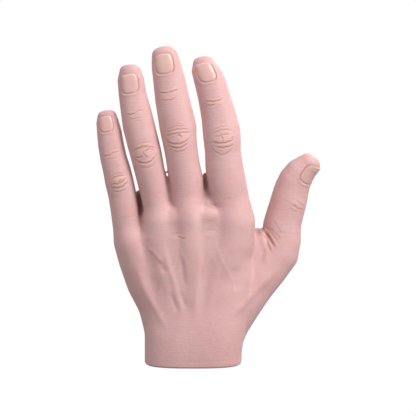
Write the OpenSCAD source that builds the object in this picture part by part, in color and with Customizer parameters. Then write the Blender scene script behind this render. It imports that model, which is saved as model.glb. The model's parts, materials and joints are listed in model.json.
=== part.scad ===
// Passive silicone hand prosthesis, left, built over a jointed inner hand.
// It stands on its wrist: +Z runs up to the fingertips, +X to the thumb and +Y to the palm,
// with the origin on the wrist's axis at its flat end. Millimetres.

/* [Hand] */
// Height from the wrist's flat end to the middle fingertip
hand_h = 194; // [188:1:200]
// Wall of the silicone skin over the palm and wrist
skin_t = 2.2; // [1.8:0.1:2.6]
// Facets round a soft section
skin_fn = 32; // [24:8:40]

/* [Hinges] */
// Radius of a hinge pin
pin_r = 1.5; // [1.3:0.1:1.8]
// Radius of a hinge's eye and ears
eye_r = 4.2; // [3.9:0.1:4.3]
// Width of the tongue between two ears
tongue_w = 4.8; // [4.2:0.1:5]
// Width of each ear
ear_w = 2.3; // [1.8:0.1:2.4]
// Bend of a finger's root hinge, in degrees
root_bend = 65; // [30:1:65]
// Bend of a finger's middle hinge, in degrees
middle_bend = 80; // [30:1:80]
// Bend of the thumb's root hinge, in degrees
thumb_root_bend = 35; // [15:1:35]
// Bend of the thumb's middle hinge, in degrees
thumb_middle_bend = 55; // [20:1:55]

/* [Wrist] */
// Radius of the wrist adapter's threaded bore
bore_r = 5.25; // [4.2:0.05:5.6]
// Radius of the wrist adapter's sleeve
sleeve_r = 9; // [8.5:0.1:10]
// Radius of the wrist adapter's flange
flange_r = 12; // [11.5:0.1:12.5]
// Height of the wrist block
block_h = 12; // [11.5:0.5:12]

/* [Hidden] */
$fn = 48;
FINGERS = ["index", "middle", "ring", "little"];
DIGITS = concat(FINGERS, ["thumb"]);
DIGIT_PARTS = ["proximal_link", "middle_pin", "root_skin", "distal_link", "tip_skin", "nail"];

k = hand_h / 194;      // the anatomy follows the hand's height, and the hardware keeps its size
run_gap = 0.05;        // running clearance of a pin or sleeve
side_gap = 0.15;       // clearance beside a tongue
half_gap = 0.2;        // each skin's distance from the plane of its hinge
bed_gap = 0.15;        // clearance of a hard part in its bed
spare_bend = 3;        // degrees of room past a hinge's limit
big = 60;              // reach of a cutting block
slab = 0.02;           // thickness of a section before it is hulled

silicone = [0.84, 0.67, 0.66];
foam = [0.93, 0.87, 0.74];
nylon = [0.86, 0.86, 0.83];
steel = [0.75, 0.76, 0.78];
alloy = [0.62, 0.64, 0.67];
nail_pink = [0.90, 0.72, 0.68];

// Each digit: root hinge, middle hinge, fingertip, direction of its palmar side, half widths at the
// root, the middle hinge, the end joint and the tip, and depth over width at the same places
ROOT = 0; MID = 1; TIP = 2; PALMAR = 3; HALF_W = 4; DEPTH = 5;
index = [[20.9, -1, 112], [17.6, -1, 137], [6.7, 3.5, 188], [0, 1, 0],
         [10.6, 10.8, 9.3, 7.8], [0.86, 0.84, 0.80, 0.74]];
middle = [[-2.6, -1.5, 112], [-8.6, -1.5, 138], [-17.6, 3, 194], [0, 1, 0],
          [9.8, 10.5, 9.5, 8.0], [0.90, 0.86, 0.80, 0.74]];
ring = [[-23.2, -1, 109], [-28.9, -1, 129.5], [-37.6, 3.5, 183], [0, 1, 0],
        [8.2, 9.4, 8.7, 7.4], [0.98, 0.88, 0.80, 0.74]];
little = [[-41, -0.5, 93], [-44.6, -0.5, 112], [-52.1, 3.5, 155], [0, 1, 0],
          [8.0, 8.3, 7.2, 6.4], [0.98, 0.92, 0.84, 0.76]];
thumb = [[54, 13, 74], [58.6, 15, 101], [74.5, 10.5, 126.5], [-0.6, 0.8, 0],
         [11.0, 10.8, 9.8, 8.0], [0.95, 0.88, 0.80, 0.74]];

// Levels of the palm and of the thumb's mound: height, left, right, back and palm side
palm_levels = [[0, -29.5, 29.3, -20, 20], [16, -29.5, 29.9, -20, 20], [27, -31, 31, -18.5, 19],
               [36, -34, 33, -17, 18], [50, -41, 35.5, -16, 17], [64, -45.5, 37.5, -15.5, 16],
               [76, -48.6, 38.6, -15, 15], [81, -41, 38.7, -14.5, 14.5], [86, -28, 38.4, -14, 14],
               [99, -26.5, 35.8, -12, 12]];
mound_levels = [[20, 8, 27, -6, 16], [34, 13, 41, -6, 25.5], [50, 22, 53.4, -5, 28],
                [62, 30, 62.5, -1, 27], [69, 38, 64.6, 1.5, 25]];

function digit(d) = d == "index" ? index : d == "middle" ? middle : d == "ring" ? ring
                  : d == "little" ? little : thumb;
function unit(v) = v / norm(v);
function point(d, which) = digit(d)[which] * k;
function root_dir(d) = unit(point(d, MID) - point(d, ROOT));
function tip_dir(d) = unit(point(d, TIP) - point(d, MID));
function root_len(d) = norm(point(d, MID) - point(d, ROOT));
function tip_len(d) = norm(point(d, TIP) - point(d, MID));
function half_w(d, i) = digit(d)[HALF_W][i] * k;
function half_d(d, i) = half_w(d, i) * digit(d)[DEPTH][i];
function bend(d, at_mid) = d == "thumb" ? (at_mid ? thumb_middle_bend : thumb_root_bend)
                         : (at_mid ? middle_bend : root_bend);

// Frame at p with z along a link, y to its palmar side and x along its hinge
function frame_at(p, z, palmar) =
    let (y = unit(palmar - z * (palmar * z)), x = cross(y, z))
    [[x[0], y[0], z[0], p[0]], [x[1], y[1], z[1], p[1]], [x[2], y[2], z[2], p[2]], [0, 0, 0, 1]];
module at_root(d) { multmatrix(frame_at(point(d, ROOT), root_dir(d), digit(d)[PALMAR])) children(); }
module at_mid(d) { multmatrix(frame_at(point(d, MID), tip_dir(d), digit(d)[PALMAR])) children(); }

// ---- Hinges ---------------------------------------------------------------------------------

hinge_w = tongue_w + 2 * side_gap + 2 * ear_w;    // over both ears
neck = eye_r + 0.6;                               // from a hinge's axis to the bottom of its slot
room_r = neck + 1;                                // room for a hinge inside the soft parts
bar = [tongue_w, 6.4];                            // a link's bar, across and deep
end_bar = [4.2, 4.6];                             // its thinner end in the fingertip

module rod_x(r, w) { rotate([0, 90, 0]) cylinder(r = r, h = w, center = true); }
module block(size, from, to) { translate([-size[0] / 2, -size[1] / 2, from]) cube([size[0], size[1], to - from]); }

// A block that carries two ears, before its slot and pin hole are cut
module ears_blank(block_len) {
    rod_x(eye_r, hinge_w);
    block([hinge_w, 2 * eye_r], -neck - block_len, 0);
}
module ears_cuts() {
    block([tongue_w + 2 * side_gap, big], -neck, big);
    rod_x(pin_r, hinge_w + 1);
}
module hinge_pin() { rod_x(pin_r, hinge_w); }
// What a hinge and its ears need inside the soft parts
module hinge_room() { rod_x(room_r, hinge_w + 1.2); }
module ears_bed(block_len) { block([hinge_w + 2 * bed_gap, 2 * (eye_r + bed_gap)], -neck - block_len - bed_gap, 0); }

// ---- Soft sections --------------------------------------------------------------------------

// A rounded section between left and right, back and palm; t thins it all round
function outline(s, t) =
    let (cx = (s[1] + s[2]) / 2, cy = (s[3] + s[4]) / 2, a = (s[2] - s[1]) / 2 - t, b = (s[4] - s[3]) / 2 - t)
    [for (i = [0:skin_fn - 1]) let (u = cos(i * 360 / skin_fn), v = sin(i * 360 / skin_fn))
        [cx + a * sign(u) * pow(abs(u), 0.8), cy + b * sign(v) * pow(abs(v), 0.8)]];
module section(s, t) { translate([0, 0, s[0]]) linear_extrude(slab) polygon(outline(s, t)); }
module loft(levels, t = 0) {
    for (i = [0:len(levels) - 2]) hull() { section(levels[i], t); section(levels[i + 1], t); }
}
function level(z, w, d) = [z, -w, w, -d, d];
function mix(a, b, u) = a * (1 - u) + b * u;

// One side of a hinge's plane, opened on the palmar side: side 1 clears the child, -1 the parent
module notch(side, angle, w = 2 * big) {
    rotate([90, 0, 90]) translate([0, 0, -w / 2]) linear_extrude(w)
        polygon([[-big, side * half_gap], [0, side * half_gap],
                 [big * cos(angle), side * (half_gap + big * sin(angle))],
                 [big, -side * big], [-big, -side * big]]);
}
parent_share = 0.46;   // of the palmar opening, cut from the parent's skin
function parent_cut(d, at_mid) = (bend(d, at_mid) + spare_bend) * parent_share;
function child_cut(d, at_mid) = (bend(d, at_mid) + spare_bend) * (1 - parent_share);

// ---- Wrist ----------------------------------------------------------------------------------

plate_h = 3;                   // steel plate over the block
foot = [48, 22];               // foot of the palm frame
foot_h = 3;
lip_h = 4;                     // bottom of the block, under the adapter's flange
flange_h = 4;
boss_r = 7;                    // adapter above its flange
boss_top = block_h - 0.4;
washer_h = 1.5;
screw_r = 1.5;
screw_at = [19, 5];            // wrist screws from the axis
screw_down = 8;                // depth of the screws in the block

module at_screws() { for (x = [-1, 1], y = [-1, 1]) translate([x * screw_at[0], y * screw_at[1], 0]) children(); }

// The skin's wall plus a fit all round leaves the block's outline
module wrist_outline(h) {
    linear_extrude(h) scale(k) polygon(outline(palm_levels[0], (skin_t + bed_gap) / k));
}

module wrist_block() {
    color(nylon) difference() {
        wrist_outline(block_h);
        translate([0, 0, -1]) cylinder(r = sleeve_r + run_gap, h = block_h);
        translate([0, 0, lip_h]) cylinder(r = flange_r + 0.3, h = block_h);
        at_screws() translate([0, 0, block_h - screw_down]) cylinder(r = screw_r, h = block_h);
    }
}

module wrist_plate() {
    color(steel) translate([0, 0, block_h]) difference() {
        wrist_outline(plate_h);
        at_screws() translate([0, 0, -1]) cylinder(r = screw_r, h = plate_h + 2);
    }
}

module wrist_screws() {
    head_z = block_h + plate_h + foot_h;
    color(steel) at_screws() {
        translate([0, 0, block_h - screw_down]) cylinder(r = screw_r, h = head_z + 0.5 - block_h + screw_down);
        translate([0, 0, head_z]) difference() {
            cylinder(r = 2.75, h = 2.2);
            translate([0, 0, 1]) cylinder(r = 1.4, h = 2, $fn = 6);
        }
    }
}

// Turns in the block; the arm's stud screws into its bore
module wrist_adapter() {
    color(steel) difference() {
        union() {
            cylinder(r = sleeve_r, h = lip_h + 0.2);
            translate([0, 0, lip_h + 0.1]) cylinder(r = flange_r, h = flange_h - 0.15);
            cylinder(r = boss_r, h = boss_top);
        }
        translate([0, 0, -1]) cylinder(r = bore_r, h = block_h + 2);
    }
}

module wrist_ring(z, r, h) {
    translate([0, 0, z]) difference() {
        cylinder(r = r, h = h);
        translate([0, 0, -1]) cylinder(r = boss_r + 0.3, h = h + 2);
    }
}
washer_z = lip_h + flange_h + 0.05;
module friction_washer() { color([0.55, 0.42, 0.3]) wrist_ring(washer_z, flange_r + 0.1, washer_h); }
module wave_spring() { color(steel) wrist_ring(washer_z + washer_h, flange_r - 0.6, block_h - washer_z - washer_h); }

// ---- Palm frame -----------------------------------------------------------------------------

plate_y = [-3.5, 1.5];         // back and palm face of the palm frame's plate
knuckle_block = 17;            // length of the block that carries a finger's ears
thumb_block = 9;
foot_top = block_h + plate_h + foot_h;
bracket_foot = [[8, 34], [26, 56]];   // thumb bracket's foot on the plate: low and high x, z
bracket_t = 4;
strut_r = 3.8;
bracket_screws = [[12.5, 39], [19, 50.5]];

module palm_plate() {
    translate([0, plate_y[1], 0]) rotate([90, 0, 0]) linear_extrude(plate_y[1] - plate_y[0]) scale(k) polygon([
        [-12, 17], [12, 17], [22, 48], [29, 78], [28, 95], [-6, 95], [-22, 93.5], [-25, 78.5],
        [-40, 76], [-38, 66], [-25, 42]]);
}

module palm_frame() {
    color(alloy) difference() {
        union() {
            palm_plate();
            translate([0, 0, block_h + plate_h]) block(foot, 0, foot_h);
            for (d = FINGERS) at_root(d) ears_blank(knuckle_block);
        }
        for (d = FINGERS) at_root(d) ears_cuts();
        at_screws() cylinder(r = screw_r, h = foot_top + 1);
        at_bracket_screws() cylinder(r = screw_r, h = 3.8);
    }
}

// Screw places on the plate's palm face, with z into the plate
module at_bracket_screws() {
    for (s = bracket_screws) translate([s[0] * k, plate_y[1], s[1] * k]) rotate([90, 0, 0]) children();
}

module knuckle_pins() { color(steel) for (d = FINGERS) at_root(d) hinge_pin(); }

// Arm from the plate to the thumb's root
strut_from = [18, 3.6, 46];
function strut_to() = point("thumb", ROOT) - root_dir("thumb") * (neck + thumb_block - 1.5);
module strut(r) {
    v = strut_to() - strut_from * k;
    multmatrix(frame_at(strut_from * k, unit(v), [0, 1, 0])) cylinder(r = r, h = norm(v));
}
module bracket_foot_block(g) {
    translate([bracket_foot[0][0] * k - g, plate_y[1], bracket_foot[0][1] * k - g])
        cube([(bracket_foot[1][0] - bracket_foot[0][0]) * k + 2 * g, bracket_t + g, (bracket_foot[1][1] - bracket_foot[0][1]) * k + 2 * g]);
}

module thumb_bracket() {
    color(alloy) difference() {
        union() {
            bracket_foot_block(0);
            intersection() {
                strut(strut_r);
                translate([0, plate_y[1], 0]) cube([200, 100, 200]);
            }
            at_root("thumb") ears_blank(thumb_block);
        }
        at_root("thumb") ears_cuts();
        at_bracket_screws() translate([0, 0, -bracket_t - 20]) cylinder(r = screw_r, h = bracket_t + 21);
        at_bracket_screws() translate([0, 0, -bracket_t - 20]) cylinder(r = 3, h = 20);
    }
}

module thumb_bracket_screws() {
    color(steel) at_bracket_screws() {
        translate([0, 0, -bracket_t - 0.5]) cylinder(r = screw_r, h = bracket_t + 4);
        translate([0, 0, -bracket_t - 1.8]) difference() {
            cylinder(r = 2.75, h = 1.8);
            translate([0, 0, -1]) cylinder(r = 1.3, h = 2, $fn = 6);
        }
    }
}

module thumb_root_pin() { color(steel) at_root("thumb") hinge_pin(); }

// ---- Palm's soft parts ----------------------------------------------------------------------

// The hand's body with the thumb's mound, thinned by t all round
module palm_body(t) {
    translate([0, 0, -t]) scale(k) { loft(palm_levels, t / k); loft(mound_levels, t / k); }
}
// Short roots of the digits, up to their hinges
module stub(d) {
    at_root(d) loft([level(-17 * k, half_w(d, 0) - 1, half_d(d, 0) - 0.5), level(-5, half_w(d, 0), half_d(d, 0)),
                     level(2, half_w(d, 0), half_d(d, 0))]);
}
module hinge_cuts() {
    for (d = FINGERS) at_root(d) {
        notch(-1, parent_cut(d, false), 2 * half_w(d, 0) + 2.4);
        hinge_room();
        ears_bed(knuckle_block);
    }
    at_root("thumb") {
        notch(-1, parent_cut("thumb", false), 2 * half_w("thumb", 0) + 3);
        hinge_room();
        ears_bed(thumb_block);
    }
}

module palm_skin() {
    color(silicone) difference() {
        union() {
            palm_body(0);
            for (d = FINGERS) stub(d);
            stub("thumb");
        }
        palm_body(skin_t);
        hinge_cuts();
        translate([0, 0, -big]) cube(2 * big, center = true);
    }
}

// Foam fill on each side of the frame
module core() {
    intersection() {
        palm_body(skin_t + bed_gap);
        children();
    }
}
module frame_room() {
    block([foot[0] + 2 * bed_gap, foot[1] + 2 * bed_gap], -1, foot_top + bed_gap);
    at_screws() cylinder(r = 3, h = foot_top + 2.5);
    translate([0, 0, -1]) cylinder(r = 100, h = block_h + plate_h + bed_gap + 1);
    hinge_cuts();
    bracket_foot_block(bed_gap);
    strut(strut_r + bed_gap);
    at_bracket_screws() translate([0, 0, -bracket_t - 2]) cylinder(r = 3, h = 4);
}

module dorsal_core() {
    color(foam) difference() {
        core() translate([-big * 2, plate_y[0] - bed_gap - big, 0]) cube([big * 4, big, big * 4]);
        frame_room();
    }
}

module palmar_core() {
    color(foam) difference() {
        core() translate([-big * 2, plate_y[1] + bed_gap, 0]) cube([big * 4, big, big * 4]);
        frame_room();
    }
}

// ---- Digits ---------------------------------------------------------------------------------

root_ears_block = 4.5;         // length of the block that carries a middle hinge's ears

// The middle hinge's frame, seen from the root hinge's frame
module mid_from_root(d) {
    r = frame_at([0, 0, 0], root_dir(d), digit(d)[PALMAR]);
    m = frame_at([0, 0, 0], tip_dir(d), digit(d)[PALMAR]);
    function turned(i, j) = r[0][i] * m[0][j] + r[1][i] * m[1][j] + r[2][i] * m[2][j];
    multmatrix([[turned(0, 0), turned(0, 1), turned(0, 2), 0], [turned(1, 0), turned(1, 1), turned(1, 2), 0],
                [turned(2, 0), turned(2, 1), turned(2, 2), root_len(d)], [0, 0, 0, 1]]) children();
}

module proximal_link(d) {
    color(alloy) at_root(d) difference() {
        union() {
            rod_x(eye_r, tongue_w);
            block(bar, 0, root_len(d) - neck - 1);
            mid_from_root(d) ears_blank(root_ears_block);
        }
        rod_x(pin_r + run_gap, hinge_w);
        mid_from_root(d) ears_cuts();
    }
}

module middle_pin(d) { color(steel) at_mid(d) hinge_pin(); }

function root_levels(d) =
    [for (u = [0, 0.35, 0.7, 1]) let (bulge = 1 + 0.02 * sin(180 * u))
        level(mix(-0.5, root_len(d) + 2.5, u), mix(half_w(d, 0), half_w(d, 1), u) * bulge,
              mix(half_d(d, 0), half_d(d, 1), u) * bulge)];

module root_skin(d) {
    color(silicone) at_root(d) difference() {
        loft(root_levels(d));
        notch(1, child_cut(d, false));
        hinge_room();
        block(bar + [2, 2] * bed_gap, 0, root_len(d));
        mid_from_root(d) {
            notch(-1, parent_cut(d, true));
            hinge_room();
            ears_bed(root_ears_block);
        }
    }
}

function end_joint(d) = (d == "thumb" ? 0.42 : 0.47) * tip_len(d);
module distal_link(d) {
    color(alloy) at_mid(d) difference() {
        union() {
            rod_x(eye_r, tongue_w);
            block(bar, 0, end_joint(d));
            block(end_bar, end_joint(d) - 1, tip_len(d) * 0.8);
        }
        rod_x(pin_r + run_gap, hinge_w);
    }
}

function tip_levels(d) =
    let (pad = half_w(d, 3) * 0.95, end = tip_len(d) - pad)
    concat([for (u = [0, 0.5, 1]) level(mix(-2.5, end_joint(d), u), mix(half_w(d, 1), half_w(d, 2), u),
                                        mix(half_d(d, 1), half_d(d, 2), u))],
           [for (a = [0, 30, 55, 75, 88]) level(end + pad * sin(a), half_w(d, 3) * max(cos(a), 0.14),
                                                half_d(d, 3) * max(cos(a), 0.14))]);

module tip_skin(d) {
    color(silicone) at_mid(d) difference() {
        loft(tip_levels(d));
        notch(1, child_cut(d, true));
        hinge_room();
        block(bar + [2, 2] * bed_gap, 0, end_joint(d) + bed_gap);
        block(end_bar + [2, 2] * bed_gap, 0, tip_len(d) * 0.8 + bed_gap);
    }
}

// Thin curved plate on the back of the fingertip
module nail(d) {
    w = half_w(d, 3) * 0.78;
    l = half_w(d, 3) * 0.84;
    color(nail_pink) at_mid(d) intersection() {
        difference() { loft(tip_levels(d), -0.75); loft(tip_levels(d), -0.05); }
        translate([0, 0, tip_len(d) - 4.5 * k - l]) rotate([90, 0, 0]) linear_extrude(big)
            polygon([for (i = [0:skin_fn - 1]) let (u = cos(i * 360 / skin_fn), v = sin(i * 360 / skin_fn))
                [w * sign(u) * pow(abs(u), 0.6), l * sign(v) * pow(abs(v), 0.6)]]);
    }
}

// ---- Nodes ----------------------------------------------------------------------------------

wrist_block();
wrist_plate();
wrist_screws();
wrist_adapter();
friction_washer();
wave_spring();
palm_frame();
knuckle_pins();
thumb_bracket();
thumb_bracket_screws();
thumb_root_pin();
dorsal_core();
palmar_core();
palm_skin();
for (d = DIGITS) {
    proximal_link(d);
    middle_pin(d);
    root_skin(d);
    distal_link(d);
    tip_skin(d);
    nail(d);
}
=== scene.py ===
import json
import math

import bmesh
import bpy
import numpy as np
from mathutils import Matrix, Vector
from mathutils.bvhtree import BVHTree

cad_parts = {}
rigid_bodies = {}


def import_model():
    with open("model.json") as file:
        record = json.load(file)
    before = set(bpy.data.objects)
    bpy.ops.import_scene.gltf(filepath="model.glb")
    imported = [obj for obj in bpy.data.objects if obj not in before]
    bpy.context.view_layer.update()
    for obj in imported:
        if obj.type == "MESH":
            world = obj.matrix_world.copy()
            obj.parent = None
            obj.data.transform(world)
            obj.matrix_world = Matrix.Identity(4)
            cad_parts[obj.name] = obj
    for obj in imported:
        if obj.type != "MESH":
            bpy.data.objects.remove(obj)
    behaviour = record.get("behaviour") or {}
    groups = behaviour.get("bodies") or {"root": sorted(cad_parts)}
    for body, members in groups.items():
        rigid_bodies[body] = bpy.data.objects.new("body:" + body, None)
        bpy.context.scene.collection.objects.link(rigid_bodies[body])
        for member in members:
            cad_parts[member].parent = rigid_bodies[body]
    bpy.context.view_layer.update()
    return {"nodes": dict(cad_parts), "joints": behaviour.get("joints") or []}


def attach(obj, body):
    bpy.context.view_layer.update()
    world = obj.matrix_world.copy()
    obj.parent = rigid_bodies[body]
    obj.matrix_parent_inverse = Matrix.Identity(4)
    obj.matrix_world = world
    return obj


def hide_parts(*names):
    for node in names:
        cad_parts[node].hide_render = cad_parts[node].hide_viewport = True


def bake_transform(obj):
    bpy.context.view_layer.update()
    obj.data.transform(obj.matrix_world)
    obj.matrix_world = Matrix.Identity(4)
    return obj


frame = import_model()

# ---------------- the cast hand
# The outside of the hand is soft silicone, cast in one mould with all its folds and wrinkles.
# The model grows the same way: round limbs are merged into one body, smoothed, then given their relief.
MM = 0.001
LIMB_SIDES = 32
VOXEL = 0.68 * MM           # grain of the merged body
TIP_DOME = ((0.35, 0.94), (0.65, 0.78), (0.86, 0.54), (0.98, 0.22))   # share of the way to the tip, share of the width


def oval_place(spot, ahead, palm_side, half_wide, half_deep):
    """The matrix that takes a unit circle to an oval at spot that faces ahead."""
    deep = (palm_side - ahead * palm_side.dot(ahead)).normalized()
    wide = deep.cross(ahead).normalized()
    place = Matrix.Identity(4)
    for k, column in enumerate((wide * half_wide * MM, deep * half_deep * MM, ahead)):
        place.col[k][:3] = column
    place.translation = spot * MM
    return place


def limb(name, rings, tip=None, square=2.0):
    """A round limb through rings of (x, y, z, half width, half depth, turn), closed at both ends."""
    rings = [tuple(r) + (0,) * (6 - len(r)) for r in rings]
    if tip:
        last, end = rings[-1], Vector(tip)
        for way, size in TIP_DOME:
            spot = Vector(last[:3]).lerp(end, way)
            rings.append((*spot, last[3] * size, last[4] * size, last[5]))
    spots = [Vector(r[:3]) for r in rings]
    bpy.ops.object.select_all(action="DESELECT")
    bpy.ops.mesh.primitive_circle_add(vertices=LIMB_SIDES, radius=1, fill_type="NGON")
    piece = bpy.context.object
    piece.name = name
    bpy.ops.object.mode_set(mode="EDIT")
    shape = bmesh.from_edit_mesh(piece.data)
    for v in shape.verts:
        v.co.x, v.co.y = (math.copysign(abs(c) ** (2 / square), c) for c in v.co.xy)
    before = Matrix.Identity(4)
    for k, (_, _, _, half_wide, half_deep, turn) in enumerate(rings):
        if k:
            bpy.ops.mesh.extrude_region_move()
        ahead = (spots[min(k + 1, len(spots) - 1)] - spots[max(k - 1, 0)]).normalized()
        palm_side = Vector((-math.sin(math.radians(turn)), math.cos(math.radians(turn)), 0))
        place = oval_place(spots[k], ahead, palm_side, half_wide, half_deep)
        shape = bmesh.from_edit_mesh(piece.data)
        bmesh.ops.transform(shape, matrix=place @ before.inverted(), verts=[v for v in shape.verts if v.select])
        before = place
    bmesh.update_edit_mesh(piece.data)
    bpy.ops.mesh.select_all(action="SELECT")
    bpy.ops.mesh.normals_make_consistent(inside=False)
    bpy.ops.object.mode_set(mode="OBJECT")
    return piece


# Fingers: x, y, z of each ring's middle, half width, half depth, from inside the palm to the nail
FINGER_RINGS = {
    "index": [(22, -1, 100, 12.3, 10.8), (20.2, -1, 112, 11.9, 10.4), (18.8, -1, 122, 11.4, 9.9),
              (18.1, -1, 130, 10.9, 9.4), (17.7, -1, 138, 11.4, 9.7), (17.0, -0.8, 144, 11.3, 9.3),
              (15.5, -0.2, 152, 10.6, 8.5), (12.8, 0.6, 163, 9.8, 7.7), (10.4, 1.7, 172, 9.5, 7.1),
              (8.4, 2.3, 177, 8.9, 6.6), (7, 2.8, 180.5, 8.2, 6), (6.4, 3.3, 184.2, 6.5, 4.7)],
    "middle": [(-3.2, -1.5, 100, 10.8, 10.6), (-3.9, -1.5, 112, 10.4, 10.3), (-5.8, -1.5, 122, 10, 9.9),
               (-7, -1.5, 130, 10, 9.6), (-8.2, -1.5, 138, 10.5, 9.8), (-8.85, -1.4, 144, 11.15, 9.6),
               (-10.4, -0.9, 152, 10.9, 8.9), (-12.7, 0, 163, 10.3, 8), (-14.1, 0.9, 172, 9.8, 7.3),
               (-16, 2.1, 182, 9, 6.5), (-17.1, 2.9, 189, 7.8, 5.4)],
    "ring": [(-21.5, -1, 98, 9.2, 9.8), (-23.7, -1, 108, 9.1, 9.6), (-26.1, -1, 118, 9.1, 9.4),
             (-28.5, -1, 129, 9.6, 9.3), (-30.3, -0.8, 136, 9.7, 9), (-32.75, 0, 146, 9.75, 8.2),
             (-34.5, 0.7, 155, 9.2, 7.3), (-36.5, 1.8, 165, 8.4, 6.4), (-37.6, 2.8, 174, 8, 5.7),
             (-37.7, 3.3, 179.5, 6.4, 4.7)],
    "little": [(-40.2, -0.5, 84, 8.6, 9), (-41.4, -0.5, 94, 8.6, 8.7), (-42.9, -0.5, 104, 8.6, 8.3),
               (-44.7, -0.5, 112, 8.7, 8.2), (-46.15, -0.2, 119, 8.45, 7.8), (-48.1, 0.5, 126, 8.1, 7.2),
               (-49.6, 1.3, 134, 7.9, 6.4), (-50.7, 2.2, 142, 7.5, 5.7), (-51.7, 3, 148, 6.9, 5),
               (-52.1, 3.4, 152.5, 5.6, 4)],
}
FINGER_TIPS = {"index": (6, 3.6, 187.4), "middle": (-17.7, 3.2, 193.5), "ring": (-37.8, 3.6, 182.5),
               "little": (-52.4, 3.6, 154.8)}
# Thumb, from the wrist through the ball of the thumb; the last number turns its palm side, in degrees
THUMB_RINGS = [(14, 3, 8, 14.4, 15, 0), (20, 5.5, 23, 14.4, 16, 0), (27, 8, 34.5, 14.6, 16.5, 5),
               (36, 10.5, 46.5, 14, 15, 12), (46, 12.3, 58, 13.6, 13.2, 22), (52.4, 13.6, 66, 13.6, 12.6, 30),
               (54, 14.4, 74, 12.6, 12.2, 34), (54.9, 14.8, 84, 11.8, 11.6, 36), (57.4, 15, 93, 11.6, 10.9, 37),
               (59.3, 15, 100, 11.6, 10.4, 37), (60.7, 14.5, 106, 11.2, 9.8, 37), (62.8, 13.6, 111.3, 10.6, 9, 37),
               (66.4, 12.6, 116.6, 9.6, 7.6, 37), (70.6, 11.4, 120.6, 7.9, 5.8, 37)]
THUMB_TIP = (76.2, 10, 124.2)
# Bones of the back of the hand: x, z, half width, with the height of the back and of the palm over them
HAND_BONES = {
    "index": [(12, 0, 15, -14, 15), (12, 14, 15, -14.5, 15), (11.5, 35, 14, -14.5, 15.4), (17, 55, 14.5, -14, 15.2),
              (22.6, 75, 14.8, -14, 14.4), (24.2, 89, 13.8, -13.4, 12.8), (23, 99, 11.6, -12, 10.6)],
    "middle": [(0, 0, 14, -19, 17), (0, 18, 14, -18.4, 17.4), (0, 35, 13, -16.6, 17), (0, 55, 13, -15.8, 16.8),
               (-1.5, 75, 13, -15.4, 15), (-2.5, 90, 12.5, -14.4, 13), (-3, 101, 10, -12.6, 10.5)],
    "ring": [(-10, 0, 14, -17, 16), (-10.5, 18, 14, -16.4, 16.4), (-11, 35, 13, -15, 16.6),
             (-16, 55, 13, -14.6, 16.4), (-20, 75, 12.5, -14.2, 14.8), (-20.2, 90, 11.5, -13.2, 12.8),
             (-21.3, 98, 9, -11.4, 10)],
    "little": [(-16.5, 0, 13, -13, 14), (-17, 20, 13, -13.4, 16), (-21.5, 36, 12.5, -13, 17),
               (-29.3, 50, 11.8, -12.6, 16.4), (-34.5, 64, 11.2, -12.2, 15), (-38.3, 76, 10.5, -11.6, 12.6),
               (-40, 86, 8.8, -9.8, 9)],
}
KNUCKLE_ENDS = {"index": (20.5, -0.8, 112), "middle": (-3.8, -0.8, 112), "ring": (-23.5, -0.8, 110),
                "little": (-41.2, -0.4, 97)}
WRIST_DEPTH = 9             # the bones start this far below the cut, so that the cut stays crisp
# The flesh that joins them: x, y, z, half width, half depth
PALM_FLESH = [(0, 0, -9, 29.8, 19.6), (0, 0, 8, 29.8, 19.6), (0.8, 0, 16, 30.2, 19), (1.8, -0.1, 26, 30.6, 17.6),
              (2, 0.3, 36, 32, 16.3), (1, 0.8, 50, 34.5, 15.3), (-0.5, 0.8, 64, 35.5, 14.8), (-1, 0.7, 75, 35, 14.1),
              (1, 0.5, 84, 31.5, 13.2), (3.4, 0.2, 92, 25, 12)]
PALM_TIP = (4, -0.4, 100.4)
# Webs, from the back of the hand to the palm: x, y, z, radius
WEBS = {"index_middle": [(8.6, -5.5, 97), (8.6, -1.5, 102.5), (8.7, 3, 108), (8.8, 7, 112.5), (9.2, 8, 116)],
        "middle_ring": [(-13.2, -5.5, 93.5), (-13.5, -1.5, 99), (-13.8, 3, 104.5), (-14.1, 7, 109)],
        "ring_little": [(-31.4, -4, 80), (-31.8, -0.5, 85.5), (-32, 4, 90.5), (-32.2, 7, 95.5), (-31.8, 7.4, 101),
                        (-31.6, 7.4, 105.5)]}
WEB_RADIUS = 3.6
THUMB_WEB = [(26, 5, 34, 12, 10), (33, 6.5, 50, 12.5, 9), (37.5, 8, 64, 11, 7), (40, 9, 75, 8, 5),
             (41.4, 9.6, 81.5, 4.6, 3)]

limbs = [limb("finger_" + name, rings, FINGER_TIPS[name]) for name, rings in FINGER_RINGS.items()]
limbs.append(limb("thumb", THUMB_RINGS, THUMB_TIP))
for name, bones in HAND_BONES.items():
    rings = [(x, (back + palm) / 2, z, half, (palm - back) / 2) for x, z, half, back, palm in bones]
    rings[0] = rings[0][:2] + (-WRIST_DEPTH,) + rings[0][3:]
    limbs.append(limb("bone_" + name, rings, KNUCKLE_ENDS[name]))
limbs.append(limb("palm_flesh", PALM_FLESH, PALM_TIP, square=2.9))
limbs.append(limb("thumb_web", THUMB_WEB))
for name, spots in WEBS.items():
    limbs.append(limb("web_" + name, [(*spot, WEB_RADIUS, WEB_RADIUS) for spot in spots]))

bpy.ops.object.select_all(action="DESELECT")
for piece in limbs:
    piece.select_set(True)
bpy.context.view_layer.objects.active = limbs[-1]
bpy.ops.object.join()
hand = bpy.context.object
hand.name = "hand_skin"
merge = hand.modifiers.new("merge", "REMESH")
merge.mode, merge.voxel_size, merge.adaptivity = "VOXEL", VOXEL, 0
bpy.ops.object.modifier_apply(modifier=merge.name)


def ease(value, low, high):
    """0 before low, 1 beyond high, turning smoothly between them."""
    way = np.clip((value - low) / (high - low), 0, 1)
    return way * way * (3 - 2 * way)


def read_vectors(items, field):
    """The three numbers that each of the items has in a field, as an array."""
    values = np.empty(len(items) * 3)
    items.foreach_get(field, values)
    return values.reshape(-1, 3)


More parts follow.
